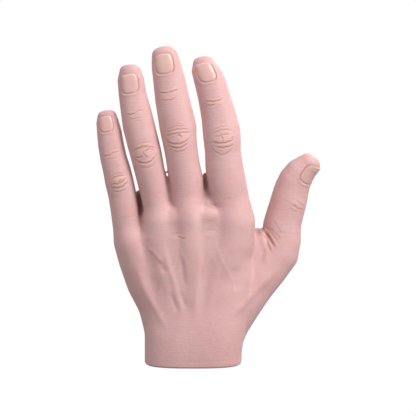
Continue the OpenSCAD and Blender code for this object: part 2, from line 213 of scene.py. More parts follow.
def read_spots(piece):
    return read_vectors(piece.data.vertices, "co") / MM


def smooth_where(piece, name, weight, times):
    """Relaxes the mesh where weight is high, as fingers smooth clay."""
    group = piece.vertex_groups.new(name=name)
    steps = np.round(np.clip(weight, 0, 1) * 20).astype(int)
    for step in range(1, 21):
        chosen = np.nonzero(steps == step)[0]
        if len(chosen):
            group.add(chosen.tolist(), step / 20, "REPLACE")
    relax = piece.modifiers.new(name, "SMOOTH")
    relax.factor, relax.iterations, relax.vertex_group = 0.5, times, name
    bpy.ops.object.modifier_apply(modifier=relax.name)
    piece.vertex_groups.remove(piece.vertex_groups[name])


PALM_PASSES, ALL_PASSES = 55, 6                                 # how often each part is smoothed
WEB_REACH = 6               # how far round a web the smoothing goes, mm
KNUCKLE_LINE = ((-45, -38, -21, -3, 22), (82, 84, 95, 99, 99))   # across the hand: the palm is soft below it
spots = read_spots(hand)
beside_thumb = ease(spots[:, 0], 46, 40) + ease(spots[:, 2], 72, 60)
above_knuckles = spots[:, 2] - np.interp(spots[:, 0], *KNUCKLE_LINE)
on_palm = ease(above_knuckles, 6, -6) * np.clip(beside_thumb, 0, 1)
near_webs = np.zeros(len(spots))
for path in WEBS.values():
    for spot in path:
        near_webs = np.maximum(near_webs, np.exp(-(np.linalg.norm(spots - np.array(spot), axis=1) / WEB_REACH) ** 2))
smooth_where(hand, "palm", np.maximum(on_palm, near_webs), PALM_PASSES)
smooth_where(hand, "all", np.ones(len(spots)), ALL_PASSES)

# ---------------- the relief of the skin
# The mould was taken from a hand, so the silicone carries its knuckle pads, folds, tendons and nail beds.
# The digits get a finer mesh first, then every point moves along its normal by the sum of all the relief.
DIGITS = ("index", "middle", "ring", "little", "thumb")
hinges = {j["name"]: j for j in frame["joints"]}
ends = dict(FINGER_TIPS, thumb=THUMB_TIP)
rings_of = dict(FINGER_RINGS, thumb=THUMB_RINGS)


class DigitFrame:
    """A digit's two straight runs: from its root hinge, and from its middle hinge to its end."""

    def __init__(self, name):
        self.root, self.middle = (Vector(hinges[f"{name}_{part}"]["pos_m"]) / MM for part in ("root", "middle"))
        self.across = [-Vector(hinges[f"{name}_{part}"]["axis"]).normalized() for part in ("root", "middle")]
        self.along = []
        for across, run in zip(self.across, (self.middle - self.root, Vector(ends[name]) - self.middle)):
            self.along.append((run - across * run.dot(across)).normalized())
        self.palmar = [along.cross(across) for along, across in zip(self.along, self.across)]
        middles = np.array([r[:3] for r in rings_of[name]] + [ends[name]])
        side, way, _ = self.lay(middles, False)
        self.curve = (way, side)

    def lay(self, spots, centred=True):
        """Millimetres across from the digit's middle line, along from its middle hinge, and towards the palm."""
        off = np.asarray(spots) - np.array(self.middle)
        near, far = ([off @ np.array(axis[k]) for axis in (self.across, self.along, self.palmar)] for k in (0, 1))
        side, way, deep = (np.where(far[1] > 0, b, a) for a, b in zip(near, far))
        if centred:
            side = side - np.interp(way, *self.curve)
        return side, way, deep


digit_frames = {name: DigitFrame(name) for name in DIGITS}
THUMB_SIDE = 43             # x beyond which the skin above the thumb's web belongs to the thumb
INWARD = 3                  # a point this far under the skin lies in its own digit, also where two nearly touch
FINE_PASSES = 4
DIGIT_START = {"index": -27, "middle": -28, "ring": -23, "little": -21, "thumb": -22}   # from the middle hinge


def digit_of(spots, below=0):
    """The nearest digit's number for every point above its root, or a little below it, or -1 on the palm."""
    nearest, best = np.full(len(spots), -1), np.full(len(spots), 1e9)
    on_thumb = (spots[:, 0] > THUMB_SIDE) | ((spots[:, 0] > 39.5) & (spots[:, 1] > 4) & (spots[:, 2] < 100))
    for k, name in enumerate(DIGITS):
        side, way, _ = digit_frames[name].lay(spots)
        allowed = (way > DIGIT_START[name] - below) & (on_thumb if name == "thumb" else ~on_thumb)
        nearer = allowed & (np.abs(side) < best)
        nearest[nearer], best[nearer] = k, np.abs(side[nearer])
    return nearest


spots = read_spots(hand)
fine = digit_of(spots) >= 0
bpy.ops.object.mode_set(mode="EDIT")
bpy.ops.mesh.select_mode(type="VERT")
bpy.ops.mesh.select_all(action="DESELECT")
bpy.ops.object.mode_set(mode="OBJECT")
hand.data.vertices.foreach_set("select", fine)
bpy.ops.object.mode_set(mode="EDIT")
bpy.ops.mesh.subdivide(number_cuts=1)
bpy.ops.object.mode_set(mode="OBJECT")
spots = read_spots(hand)
smooth_where(hand, "fine", (digit_of(spots) >= 0).astype(float), FINE_PASSES)
spots = read_spots(hand)
facing = read_vectors(hand.data.vertices, "normal")
smooth_skin = BVHTree.FromObject(hand, bpy.context.evaluated_depsgraph_get())

rise = np.zeros(len(spots))                 # height of the relief, mm
fold_tone_and_shade = np.zeros(len(spots))            # the brown-red tone of a fold, with painted shade in its groove
painted_highlight = np.zeros(len(spots))            # painted highlight: paler over the knuckles and the hinge pads and on the lips of folds
painted_valley_shade = np.zeros(len(spots))            # painted shade: dark brown between the digits and in the thumb's web
owner = digit_of(spots - INWARD * facing)
side_of, way_of = np.zeros(len(spots)), np.zeros(len(spots))
back_of, front_of = ease(-facing[:, 1], 0.05, 0.5), ease(facing[:, 1], 0.05, 0.5)
for k, name in enumerate(DIGITS):
    side, way, _ = digit_frames[name].lay(spots)
    mine = owner == k
    side_of[mine], way_of[mine] = side[mine], way[mine]
    palmar = np.array(digit_frames[name].palmar[1])
    back_of[mine] = ease(-(facing[mine] @ palmar), 0.0, 0.45)
    front_of[mine] = ease(facing[mine] @ palmar, 0.0, 0.45)


FOLD_DEPTH, LIP_HEIGHT = 0.42, 1.5         # share of a fold's nominal depth, and its lips against that
LIP_SHARE = 0.3
FOLD_LINE, FOLD_BAND = 0.8, 0.85           # width of its groove and of its brown tone with painted shade, as shares of its own width


def press_fold(chosen, x, z, fold, tint=1.0):
    """One fold of the skin: a line in x and z between two ends, bowed sideways, with soft raised lips."""
    start, end = np.array(fold[0:2], float), np.array(fold[2:4], float)
    bow, depth, width = fold[4:]
    span = np.linalg.norm(end - start)
    ahead = (end - start) / span
    run = ((x - start[0]) * ahead[0] + (z - start[1]) * ahead[1]) / span
    off = (z - start[1]) * ahead[0] - (x - start[0]) * ahead[1]
    off = off - bow * 4 * run * (1 - run) - 0.12 * np.sin(1.9 * x + 3 * start[1]) - 0.08 * np.sin(4.3 * x + start[0])
    fade = ease(run, -0.04, 0.2) * ease(run, 1.04, 0.8) * chosen
    line = np.exp(-(off / (FOLD_LINE * width)) ** 2)
    lips = np.exp(-((np.abs(off) - 2 * width) / width) ** 2)
    rise[:] += FOLD_DEPTH * depth * fade * (LIP_HEIGHT * LIP_SHARE * lips - line)
    # The groove is painted brown-red with painted shade, and its lips get a painted highlight
    band = np.exp(-(off / (FOLD_BAND * width)) ** 2)
    fold_tone_and_shade[:] = np.maximum(fold_tone_and_shade, tint * fade * band * min(1, depth / 0.4))
    painted_highlight[:] = np.maximum(painted_highlight, fade * lips * min(1, depth / 0.5) * LIP_SHARE * 2)


def raise_ridge(chosen, x, z, path, height, width):
    """A long soft ridge that fades at both ends, or a hollow when its height is below 0, along a path of x and z."""
    best, place = np.full(len(x), 1e9), np.zeros(len(x))
    for k, ((x0, z0), (x1, z1)) in enumerate(zip(path, path[1:])):
        run = np.clip(((x - x0) * (x1 - x0) + (z - z0) * (z1 - z0)) / ((x1 - x0) ** 2 + (z1 - z0) ** 2), 0, 1)
        away = np.hypot(x - x0 - run * (x1 - x0), z - z0 - run * (z1 - z0))
        nearer = away < best
        best[nearer], place[nearer] = away[nearer], (k + run[nearer]) / (len(path) - 1)
    fade = ease(place, 0, 0.3) * ease(place, 1, 0.7)
    rise[:] += height * chosen * fade * np.exp(-(best / width) ** 2)


def raise_pad(chosen, x, z, pad):
    """A soft oval swelling: x and z of its middle, half width, half length and height."""
    pad_x, pad_z, half_wide, half_long, height = pad
    away = ((x - pad_x) / half_wide) ** 2 + ((z - pad_z) / half_long) ** 2
    rise[:] += height * chosen * np.exp(-away)
    return np.exp(-away) * chosen


# Folds on the backs of the digits: across and along from the middle hinge at both ends, bow, depth, width
BACK_FOLDS = {
    "index": [(-6.5, 0.6, 7.5, 0.8, -1.4, 0.5, 0.55), (-3.5, -2.8, 6.8, -2.4, -1, 0.55, 0.55),
              (-7, -1.8, 7, -2.4, -5.6, 0.25, 0.6), (-4, 2.6, 5, 2.8, 0.5, 0.3, 0.5), (-6, 4.8, 6, 5, 1.2, 0.25, 0.5),
              (-5, 6.9, 5, 7.1, 1, 0.16, 0.5), (-1.2, 3.4, 0.6, 0.2, 0.3, 0.35, 0.5),
              (-5.4, 25.2, 5, 24.4, -1, 0.55, 0.5), (-5.6, 22.4, -0.4, 22, -0.3, 0.3, 0.5)],
    "middle": [(-8, 1.6, 7.2, 0.4, -3.2, 0.55, 0.55), (-7, -0.8, 6, -1.6, -3.4, 0.45, 0.55),
               (-4.5, -5.6, 4, -5.8, -1, 0.25, 0.6), (-8, 3, 7.6, 2.8, 0.6, 0.35, 0.5),
               (-7.5, 4.8, 7, 4.7, 1, 0.3, 0.5), (-6, 6.7, 5.6, 6.6, 1, 0.24, 0.5), (-4, 8.4, 4, 8.4, 0.8, 0.16, 0.5),
               (-0.8, 2.4, 1.6, 0.8, 0.4, 0.5, 0.6), (-7, 29.4, -1.2, 28.2, -0.3, 0.5, 0.5),
               (-1.6, 28.2, 4.8, 29, 0.3, 0.5, 0.5), (-6.6, 25, 2.6, 24.8, -1, 0.3, 0.5)],
    "ring": [(-7.6, 0.2, 7.4, -1, -5, 0.6, 0.55), (-7.4, 1.4, 7.6, 1.2, 2.6, 0.45, 0.55),
             (-6, 0.2, -1, 0.4, -1.4, 0.4, 0.5), (0, 0.4, 5.6, 0.4, 1.6, 0.4, 0.5),
             (-5.6, 2, 4.4, 2.4, 0.8, 0.25, 0.45), (-1, 1.4, 1.4, -2.4, -0.4, 0.35, 0.55),
             (-5, -6.6, 5.4, -7, -1.2, 0.22, 0.6), (-4.4, 5.4, 4.6, 5.6, 0.8, 0.18, 0.5),
             (-4, 7.4, 4, 7.6, 0.6, 0.14, 0.5), (-5.4, 24.6, -0.4, 24.2, -0.3, 0.5, 0.5),
             (-1, 24.6, 5.6, 25.6, 0.4, 0.2, 0.45), (-4.6, 21.6, 3.6, 21.6, -0.4, 0.16, 0.45)],
    "little": [(-5.4, -1.6, 5.8, 0.2, -2.2, 0.5, 0.55), (-5.2, 0.2, 5.4, 1.8, -1.4, 0.4, 0.5),
               (-4.6, 1.8, 5.2, 2.9, 1, 0.35, 0.5), (-4.2, 3.4, 4.8, 4, 1.4, 0.28, 0.5),
               (-3, 0, 2, 1.6, -1, 0.35, 0.5), (-4.4, -4.4, 4, -3.6, -1.4, 0.25, 0.55),
               (-6, 17, -0.6, 16.7, -0.3, 0.5, 0.45), (-1.4, 16.9, 5, 18, 0.3, 0.22, 0.45),
               (-4, 14.6, 3, 14.4, -0.3, 0.16, 0.45)],
    "thumb": [(-4.6, -1.4, 7.4, -4.4, -1, 0.55, 0.55), (-3.2, 1, 8, -2, -0.8, 0.45, 0.5),
              (-5.4, -4, 2.4, -6.6, -0.8, 0.22, 0.5), (-2, 3.6, 6.4, 1.6, -0.4, 0.22, 0.5),
              (-6, -6.4, 0, -8.4, -0.4, 0.16, 0.5)],
}
# Pads over the middle hinges: across, along, half width, half length, height
BACK_PADS = {"index": (0.4, -0.4, 8, 5.6, 0.5), "middle": (-0.2, 0, 8.4, 5.4, 0.5), "ring": (0, -1.2, 7.6, 4.6, 0.6),
             "little": (0.2, 0, 6, 4, 0.45), "thumb": (0.5, -1, 8, 6, 0.4)}
# Folds on the palm side: at the middle hinge (two), the end joint and the root, along from the middle hinge
FRONT_FOLDS = {"index": (1.4, -1.2, 24.5, -19), "middle": (1.4, -1.2, 26.5, -20), "ring": (1.2, -1.2, 24, -15.5),
               "little": (1, -1, 17, -12.5), "thumb": (0.8, -1.2, -17)}
# Fingertip pads: along from the middle hinge, half width, half length, height
PULPS = {"index": (36, 7, 10, 0.8), "middle": (41, 7, 10.5, 0.8), "ring": (39, 6.6, 10, 0.8),
         "little": (30, 5.4, 8, 0.7), "thumb": (16, 8, 11, 0.9)}
for k, name in enumerate(DIGITS):
    mine = owner == k
    back, front = back_of * mine, front_of * mine
    # Painted highlight over the pad at the middle hinge
    painted_highlight = np.maximum(painted_highlight, 0.3 * raise_pad(back, side_of, way_of, BACK_PADS[name]))
    for fold in BACK_FOLDS[name]:
        press_fold(back, side_of, way_of, fold)
    reach = BACK_PADS[name][2] * 1.25
    for way in FRONT_FOLDS[name]:
        press_fold(front, side_of, way_of, (-reach, way + 0.8, reach, way + 0.8, -1.2, 0.7, 0.7), tint=0.7)
    along, half_wide, half_long, height = PULPS[name]
    raise_pad(front, side_of, way_of, (0, along, half_wide, half_long, height))

# The back of the hand: tendons and veins stand up, and hollows lie between them; x and z of each
x, z = spots[:, 0], spots[:, 2]
back = back_of * ease(z, 108, 96)
TENDONS = [([(4.6, 84), (3.6, 64), (2, 44), (0.5, 26)], 0.55, 2.2), ([(20.5, 84), (12.6, 50), (7.5, 28)], 0.5, 2.3),
           ([(-17.5, 76), (-15.2, 64), (-11, 51), (-6.7, 30)], 0.6, 1.9),
           ([(-36, 66), (-29, 47), (-21, 33), (-15, 22)], 0.5, 2),
           ([(52, 60), (42, 48.5), (33.5, 40), (22, 29.5)], 0.9, 2.4), ([(-3, 66), (-6.5, 44), (-8, 30)], 0.25, 1.8)]
HOLLOWS = [([(-6.8, 69), (-6, 58), (-4.6, 48)], -0.45, 1.6), ([(12, 69), (9.2, 57), (5.5, 39)], -0.45, 1.9),
           ([(-20, 66), (-16.6, 57)], -0.45, 1.6), ([(-7.8, 47), (-4, 35.6)], -0.45, 1.6),
           ([(-14.6, 47), (-8.4, 33)], -0.4, 1.5), ([(-29, 80), (-24, 68), (-22, 56)], -0.4, 4),
           ([(-12, 90), (-11, 78)], -0.5, 3.6), ([(10, 92), (11, 80)], -0.5, 3.8), ([(28, 62), (25, 46)], -0.4, 6),
           ([(45, 50), (30, 34)], -0.5, 3)]
VEINS = [([(-28, 74), (-24, 71), (-19, 65), (-18, 60)], 0.3, 1.1),
         ([(-9, 74), (-12, 62), (-20, 50), (-22, 38)], 0.22, 1.2),
         ([(12, 78), (17, 66), (24, 52), (25, 40)], 0.22, 1.3), ([(-8.5, 74), (-3, 60)], 0.15, 1.1)]
for path, height, width in TENDONS + HOLLOWS + VEINS:
    raise_ridge(back, x, z, path, height, width)
KNUCKLES = [(24, 90, 8, 8, 0.7), (-2.4, 93.5, 7.5, 7.5, 0.9), (-20.5, 87.5, 7, 7, 0.7), (-38, 78, 6.5, 6.5, 0.6)]
FLESHY = [(-30.5, 71, 7, 14, 1.5), (10.4, 93, 6.5, 8, 1.1), (-12, 89, 5, 8, 0.4)]      # between the bones
for pad in KNUCKLES + FLESHY:
    raise_pad(back, x, z, pad)
# Painted highlight on the middle finger's knuckle
painted_highlight = np.maximum(painted_highlight, 0.75 * back * np.exp(-(((x - 2.6) / 3.2) ** 2 + ((z - 90.5) / 7) ** 2)))
KNUCKLE_FOLDS = [(-9.4, 80.4, -4.4, 79.6, -0.6, 0.35, 0.6), (-12, 82, -3, 82.8, -0.5, 0.15, 0.5),
                 (-8, 78, -5, 78.4, 0.4, 0.2, 0.5), (9.4, 99.4, 14.5, 96.5, 0.8, 0.18, 0.6),
                 (9, 97, 14, 94.6, 0.8, 0.14, 0.6)]
for fold in KNUCKLE_FOLDS:
    press_fold(back, x, z, fold)
# The fold of the thumb's web, its fine wrinkles, and the edge of the back of the hand over it
web = ease(z, 92, 86) * (x > 34)
WEB_FOLDS = [(40, 84.2, 50, 70.4, 0.7, 1.3, 0.9), (43, 84, 52, 73.4, 0.8, 0.3, 0.6),
             (46, 83, 53.5, 75.6, 0.6, 0.22, 0.6), (42.6, 79, 47.6, 68, 0.6, 0.35, 0.6),
             (48, 88, 54, 79, 0.6, 0.15, 0.6)]
for fold in WEB_FOLDS:
    press_fold(web * ease(-facing[:, 1], -0.3, 0.3), x, z, fold)
raise_ridge(back_of * (z < 90), x, z, [(41.8, 80), (45, 68), (43.6, 60)], 0.5, 1.6)

# The palm: its three long lines, small crossing folds, and the pads under the fingers
PALM_LINES = [(33, 66, 14, 12, 9, 0.9, 0.8), (33.5, 69, -28, 52, -5, 0.8, 0.8), (-43, 70, 12, 86, -6, 0.8, 0.8),
              (-8, 18, 0, 56, -3, 0.35, 0.8), (-26, 60, -30, 40, 1, 0.25, 0.7), (12, 74, 6, 60, 1, 0.25, 0.7),
              (-20, 75, -24, 62, 1, 0.25, 0.7), (-25, 6.5, 26, 7.5, 2, 0.5, 0.8), (-24, 10, 22, 11.5, 2, 0.3, 0.7)]
palm = front_of * ease(z, 104, 96)
for fold in PALM_LINES:
    press_fold(palm, x, z, fold, tint=0.7)
PALM_PADS = [(22, 92, 7, 7, 0.9), (-2.5, 94, 7, 7, 0.8), (-21, 90, 7, 7, 0.8), (-37, 80, 7, 7, 0.7),
             (37, 48, 14, 12, 1.5), (30, 31, 8, 8, 0.5), (11, 96, 6, 5, 0.7)]
for pad in PALM_PADS:
    raise_pad(palm, x, z, pad)

# Nail beds: x and z of the nail's middle, width, length; the skin sinks under the nail and stands up round it
NAILS = {"index": (7.8, 177.4, 10.8, 12), "middle": (-17.3, 182.6, 11.4, 12), "ring": (-38, 170.6, 10.8, 11.6),
         "little": (-52.4, 146.2, 8.6, 9.6), "thumb": (70, 116.4, 13.6, 12)}
# How much brown painted shade the groove gets on the left and on the right of the nail
NAIL_GROOVE_SHADE = {"index": (0.2, 1), "middle": (0.2, 1), "ring": (0.6, 0.8), "little": (0.5, 0.3), "thumb": (1, 0.3)}
NAIL_SQUARE = 3.4
THUMB_NAIL = (2.3, 19.8)                    # across and along from the middle hinge
BED_DEPTH, BED_FOLD, BED_GROOVE, END_GROOVE = 0.42, 0.22, 0.1, 0.2
nail_places = {}
for k, name in enumerate(DIGITS):
    nail_x, nail_z, wide, long = NAILS[name]
    digit, mine = digit_frames[name], owner == k
    middle = np.array([[nail_x, ends[name][1], nail_z]])
    nail_side, nail_way, _ = (float(v[0]) for v in digit.lay(middle))
    if name == "thumb":
        nail_side, nail_way = THUMB_NAIL
    nail_places[name] = (nail_side, nail_way)
    du, dt = (side_of - nail_side) / (wide / 2), (way_of - nail_way) / (long / 2)
    away = (np.abs(du) ** NAIL_SQUARE + np.abs(dt) ** NAIL_SQUARE) ** (1 / NAIL_SQUARE)
    nail_back = ease(-(facing @ np.array(digit.palmar[1])), -0.15, 0.15) * mine
    behind = ease(dt, 0.85, 0.4)            # no fold at the free edge
    rise -= BED_DEPTH * nail_back * ease(away, 1.04, 0.9)
    rise += BED_FOLD * nail_back * behind * np.exp(-((away - 1.16) / 0.13) ** 2)
    rise -= BED_GROOVE * nail_back * behind * np.exp(-((away - 1.0) / 0.05) ** 2)
    rise -= END_GROOVE * nail_back * (1 - behind) * np.exp(-((away - 1.08) / 0.07) ** 2)
    # Painted shade in the groove round the nail's sides
    groove = nail_back * np.exp(-((away - 1.03) / 0.06) ** 2) * ease(np.abs(du), 0.6, 0.95)
    brown = np.where(du < 0, *NAIL_GROOVE_SHADE[name]) * ease(dt, 1.1, 0.5)
    fold_tone_and_shade = np.maximum(fold_tone_and_shade, groove * brown)

# Painted shade: the sides of the digits are painted darker and browner where they face each other, down to the webs
not_palmar = ease(facing[:, 1], 0.75, 0.25)
for path in WEBS.values():
    for spot in np.array(path):
        away = np.abs(spots - spot) / np.array([5.5, 9, 7])
        painted_valley_shade = np.maximum(painted_valley_shade, np.exp(-(away ** 2).sum(axis=1)) * ease(spots[:, 1], -11, -3) * not_palmar)
# Painted shade in the fold of the thumb's web
from_thumb_web = (spots - np.array([41, 4, 82])) / np.array([3, 8, 4])
painted_valley_shade = np.maximum(painted_valley_shade, 0.8 * np.exp(-(from_thumb_web ** 2).sum(axis=1)))

spots = spots + facing * rise[:, None]
hand.data.vertices.foreach_set("co", (spots * MM).ravel())
hand.data.update()
# The tags fold, pale and deep carry the folds' brown with painted shade, the painted highlight and the painted shade
# between the digits
for tag, values in (("fold", fold_tone_and_shade), ("pale", painted_highlight), ("deep", painted_valley_shade), ("digit", (owner >= 0) * back_of)):
    hand.data.attributes.new(tag, "FLOAT", "POINT").data.foreach_set("value", np.clip(values, 0, 1).astype(np.float32))
lie = np.stack([side_of, way_of, np.zeros(len(spots))], axis=1)
hand.data.attributes.new("lie", "FLOAT_VECTOR", "POINT").data.foreach_set("vector", lie.astype(np.float32).ravel())

# ---------------- the cut end of the wrist
# The silicone ends in a square cut round the plastic wrist block, with a softened edge.
RIM_CUT = 1.2               # height of the last full section, mm
RIM = [(0.25, 0.5), (0.8, 0.08), (1.4, 0.0), (2.0, 0.25), (2.2, 0.8), (2.25, 12.6)]   # inset and height of each loop


def select_faces(piece, chosen):
    """Opens the piece in edit mode with only the chosen faces selected."""
    bpy.ops.object.select_all(action="DESELECT")
    piece.select_set(True)
    bpy.context.view_layer.objects.active = piece
    bpy.context.tool_settings.mesh_select_mode = (False, False, True)
    for parts in (piece.data.vertices, piece.data.edges):
        parts.foreach_set("select", np.zeros(len(parts), bool))
    piece.data.polygons.foreach_set("select", chosen)
    bpy.ops.object.mode_set(mode="EDIT")


def face_middles(piece):
    return read_vectors(piece.data.polygons, "center") / MM


select_faces(hand, face_middles(hand)[:, 2] < RIM_CUT + 4)
bpy.ops.mesh.bisect(plane_co=(0, 0, RIM_CUT * MM), plane_no=(0, 0, 1), clear_inner=True)
bpy.ops.mesh.select_mode(type="EDGE")
bpy.ops.mesh.select_all(action="DESELECT")
shape = bmesh.from_edit_mesh(hand.data)
for edge in shape.edges:
    if edge.is_boundary and max(v.co.z for v in edge.verts) < (RIM_CUT + 0.05) * MM:
        edge.select_set(True)
shape.normal_update()


def spot_key(v):
    return tuple(round(c * 1e8) for c in v.co)


ring = {spot_key(v): (v.co.xy.copy(), -v.normal.xy.normalized()) for v in shape.verts if v.select}
for inset, height in RIM:
    bpy.ops.mesh.extrude_edges_move()
    shape = bmesh.from_edit_mesh(hand.data)
    moved = {}
    for v in (v for v in shape.verts if v.select):
        start, inward = ring[spot_key(v)]
        v.co.xy = start + inward * inset * MM
        v.co.z = height * MM
        moved[spot_key(v)] = (start, inward)
    ring = moved
bmesh.update_edit_mesh(hand.data)
bpy.ops.object.mode_set(mode="OBJECT")

# ---------------- the skin of the palm and of each digit
# Inside the one silicone skin each hinge has its own sleeve, so the skin is parted at the hinges.
# Each sleeve's edge meets the edge of the skin next to it point for point.
ROOT_CUTS = {"index": (0, 0.667, 0), "middle": (0, 0.667, 0), "ring": (-1.5, 0.8, 0), "little": (0, 0.85, 0),
             "thumb": (4.95, 0, -0.268)}    # height over the root hinge, rise towards the palm, rise across
MIDDLE_CUTS = {"index": 16.8, "middle": 18, "ring": 14.3, "little": 13.5, "thumb": 19}   # over the root hinge
BELOW = 18                  # how far below its usual start a digit may be parted


def digit_under(piece):
    """The digit that every face of the piece belongs to, found from a point a little under it."""
    return digit_of(face_middles(piece) - INWARD * read_vectors(piece.data.polygons, "normal"), BELOW)


cuts = {}
for name in DIGITS:
    digit = digit_frames[name]
    height, to_palm, across = ROOT_CUTS[name]
    root_normal = (digit.along[0] - digit.palmar[0] * to_palm - digit.across[0] * across).normalized()
    cuts[name] = ((digit.root + digit.along[0] * height, root_normal),
                  (digit.root + digit.along[0] * MIDDLE_CUTS[name], digit.along[0]))
for k, name in enumerate(DIGITS):
    for spot, normal in cuts[name]:
        middles = face_middles(hand)
        near = np.abs((middles - np.array(spot)) @ np.array(normal)) < 2
        select_faces(hand, near & (digit_under(hand) == k))
        bpy.ops.mesh.bisect(plane_co=spot * MM, plane_no=normal)
        bpy.ops.object.mode_set(mode="OBJECT")

rest_facing = read_vectors(hand.data.vertices, "normal").astype(np.float32).ravel()
hand.data.attributes.new("rest_facing", "FLOAT_VECTOR", "POINT").data.foreach_set("vector", rest_facing)


def part_off(chosen, name):
    """Separates the chosen faces from the hand as a piece of their own."""
    select_faces(hand, chosen)
    before = set(bpy.data.objects)
    bpy.ops.mesh.separate(type="SELECTED")
    bpy.ops.object.mode_set(mode="OBJECT")
    piece = (set(bpy.data.objects) - before).pop()
    piece.name = piece.data.name = name
    return piece


sleeves = {}
for k, name in enumerate(DIGITS):
    for part, (spot, normal) in zip(("tip", "root"), reversed(cuts[name])):
        middles = face_middles(hand)
        over = (middles - np.array(spot)) @ np.array(normal) > 0
        sleeves[name, part] = part_off(over & (digit_under(hand) == k), f"{name}_{part}_sleeve")
hand.name = hand.data.name = "palm_sleeve"
sleeves["palm", ""] = hand
for piece in sleeves.values():
    facing_there = read_vectors(piece.data.attributes["rest_facing"].data, "vector")
    piece.data.shade_smooth()
    piece.data.normals_split_custom_set_from_vertices(facing_there.tolist())
    piece.data.attributes.remove(piece.data.attributes["rest_facing"])

# For each sleeve: where its first part ends in the root's frame (towards the palm, along), and over what length
ROOT_BENDS = {"index": (9, 5.5, 12), "middle": (9, 5.5, 12), "ring": (8, 4.5, 10), "little": (7.7, 6, 7)}
ROOT_TILT = math.radians(20)
MIDDLE_BENDS = {"index": 8, "middle": 8, "ring": 7, "little": 5.5, "thumb": 8}     # before and after the middle hinge
for name in DIGITS:
    digit = digit_frames[name]
    if name == "thumb":
        start, ahead = cuts[name][0]
    else:
        to_palm, along, length = ROOT_BENDS[name]
        ahead = digit.along[0] * math.cos(ROOT_TILT) - digit.palmar[0] * math.sin(ROOT_TILT)
        start = digit.root + digit.palmar[0] * to_palm + digit.along[0] * along
    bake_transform(sleeves[name, "root"])
    reach = digit.along[0] * MIDDLE_BENDS[name]
    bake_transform(sleeves[name, "tip"])
    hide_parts(f"{name}_root_skin")
    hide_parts(f"{name}_tip_skin")
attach(hand, "palm")
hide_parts("palm_skin")


def fresh_material(name, roughness, colour=None):
    """An empty material with its shader, and the shader's constants set on its own sockets."""
    material = bpy.data.materials.new(name)
    material.use_nodes = True
    shader = material.node_tree.nodes["Principled BSDF"]
    shader.inputs["Roughness"].default_value = roughness
    if colour:
        shader.inputs["Base Color"].default_value = (*colour, 1)
    return material, material.node_tree.nodes, material.node_tree.links, shader


def shader_group(name, sockets_in, sockets_out):
    """A node group with named sockets, and its input and output nodes."""
    group = bpy.data.node_groups.new(name, "ShaderNodeTree")
    for socket, socket_kind in sockets_in:
        group.interface.new_socket(socket, in_out="INPUT", socket_type=socket_kind)
    for socket, socket_kind in sockets_out:
        group.interface.new_socket(socket, in_out="OUTPUT", socket_type=socket_kind)
    return group, group.nodes.new("NodeGroupInput"), group.nodes.new("NodeGroupOutput")


def feed(links, socket, value):
    """Links a socket, or sets it where the value is a plain one."""
    if isinstance(value, bpy.types.NodeSocket):
        links.new(value, socket)
    else:
        socket.default_value = (*value, 1) if isinstance(value, tuple) else value


def mixed(nodes, links, factor, first, second):
    """A colour mix; factor, first and second are sockets or plain values."""
    node = nodes.new("ShaderNodeMix")
    node.data_type = "RGBA"
    for socket, value in ((node.inputs["Factor"], factor), (node.inputs[6], first), (node.inputs[7], second)):
        feed(links, socket, value)
    return node.outputs[2]


def sum_of(nodes, links, operation, first, second):
    node = nodes.new("ShaderNodeMath")
    node.operation = operation
    for socket, value in zip(node.inputs, (first, second)):
        feed(links, socket, value)
    return node.outputs[0]


def bumped(nodes, links, shader, height, distance, strength=1.0):
    """Shades the shader by the relief of a height socket, distance mm high."""
    bump = nodes.new("ShaderNodeBump")
    bump.inputs["Distance"].default_value, bump.inputs["Strength"].default_value = distance * MM, strength
    links.new(height, bump.inputs["Height"])
    links.new(bump.outputs["Normal"], shader.inputs["Normal"])


def let_light_in(shader, weight, radius, scale):
    """Sets how light spreads under the surface; scale is in mm."""
    for socket, value in (("Weight", weight), ("Radius", radius), ("Scale", scale * MM)):
        shader.inputs["Subsurface " + socket].default_value = value


def noise_of(nodes, links, vector, scale, detail=2.0, roughness=0.5):
    node = nodes.new("ShaderNodeTexNoise")
    node.inputs["Scale"].default_value, node.inputs["Detail"].default_value = scale, detail
    node.inputs["Roughness"].default_value = roughness
    links.new(vector, node.inputs["Vector"])
    return node.outputs["Fac"]


def ramp_of(nodes, links, value, low, high):
    node = nodes.new("ShaderNodeMapRange")
    node.interpolation_type = "SMOOTHSTEP"
    node.inputs["From Min"].default_value, node.inputs["From Max"].default_value = low, high
    links.new(value, node.inputs["Value"])
    return node.outputs["Result"]


# Flesh mottle: soft blotches of a second colour with a finer grain in them, on the skin and under the nails
flesh_mottle, given, made = shader_group("Flesh mottle",
                                         [("Colour", "NodeSocketColor"), ("Blotch", "NodeSocketColor"),
                                          ("Strength", "NodeSocketFloat")], [("Colour", "NodeSocketColor")])
nodes, links = flesh_mottle.nodes, flesh_mottle.links
place = nodes.new("ShaderNodeTexCoord").outputs["Object"]
broad = ramp_of(nodes, links, noise_of(nodes, links, place, 55, 3), 0.35, 0.7)
small = ramp_of(nodes, links, noise_of(nodes, links, place, 420, 3), 0.3, 0.75)
both = sum_of(nodes, links, "MULTIPLY_ADD", small, 0.45)
links.new(broad, both.node.inputs[2])
amount = sum_of(nodes, links, "MULTIPLY", both, given.outputs["Strength"])
links.new(mixed(nodes, links, amount, given.outputs["Colour"], given.outputs["Blotch"]), made.inputs["Colour"])


def mottled(nodes, links, colour, blotch, strength):
    node = nodes.new("ShaderNodeGroup")
    node.node_tree = flesh_mottle
    node.inputs["Colour"].default_value, node.inputs["Blotch"].default_value = (*colour, 1), (*blotch, 1)
    node.inputs["Strength"].default_value = strength
    return node.outputs["Colour"]


SKIN, SKIN_BLOTCH = (0.66, 0.415, 0.405), (0.60, 0.345, 0.34)
